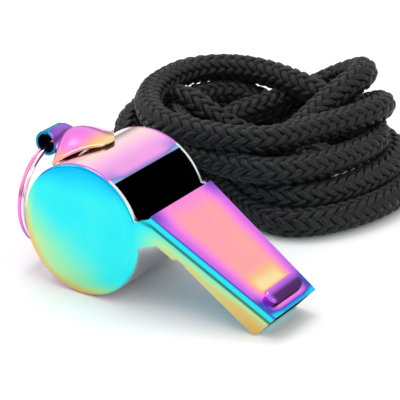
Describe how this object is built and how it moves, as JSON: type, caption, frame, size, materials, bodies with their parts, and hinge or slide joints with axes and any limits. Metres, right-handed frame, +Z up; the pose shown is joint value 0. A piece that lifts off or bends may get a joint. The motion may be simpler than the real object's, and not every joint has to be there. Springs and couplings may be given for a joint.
{
  "type": "training whistle",
  "caption": "Pea whistle pressed from sheet metal, with a key ring on its lug and a braided neck lanyard lying coiled beside it.",
  "frame": {"origin": "on the table, under the middle of the whistle's own bounding box; the lanyard is left out of that box", "axes": "+X along the whistle towards the mouth, +Y to the whistle's left along the barrel's axis, +Z up as it rests on barrel and lower lip"},
  "size_m": [0.0583, 0.0789, 0.0229],
  "materials": {
    "shell": "polished, heat-tinted rainbow",
    "lug": "polished, heat-tinted rainbow",
    "key_ring": "polished, heat-tinted rainbow",
    "clamp": "satin",
    "pea": "matte cork",
    "cord": "braided, matte"
  },
  "bodies": {
    "whistle": {"side_plate_left": "shell", "side_plate_right": "shell", "barrel_band": "shell", "mouthpiece_top": "shell", "windway_floor": "shell", "ring_lug": "lug", "cord_lead_out": "cord", "cord_lead_back": "cord", "cord_coil": "cord"},
    "key_ring": {"split_ring": "key_ring", "lanyard_clamp": "clamp"},
    "pea": {"cork_pea": "pea"}
  },
  "joints": [
    {"name": "ring_swing", "type": "hinge", "parent": "whistle", "child": "key_ring", "pos_m": [-0.02234, 0, 0.01958], "axis": [0, 1, 0], "range_deg": [-3, 250]},
    {"name": "pea_orbit", "type": "hinge", "parent": "whistle", "child": "pea", "pos_m": [-0.00965, 0, 0.011], "axis": [0, 1, 0], "continuous": true}
  ]
}
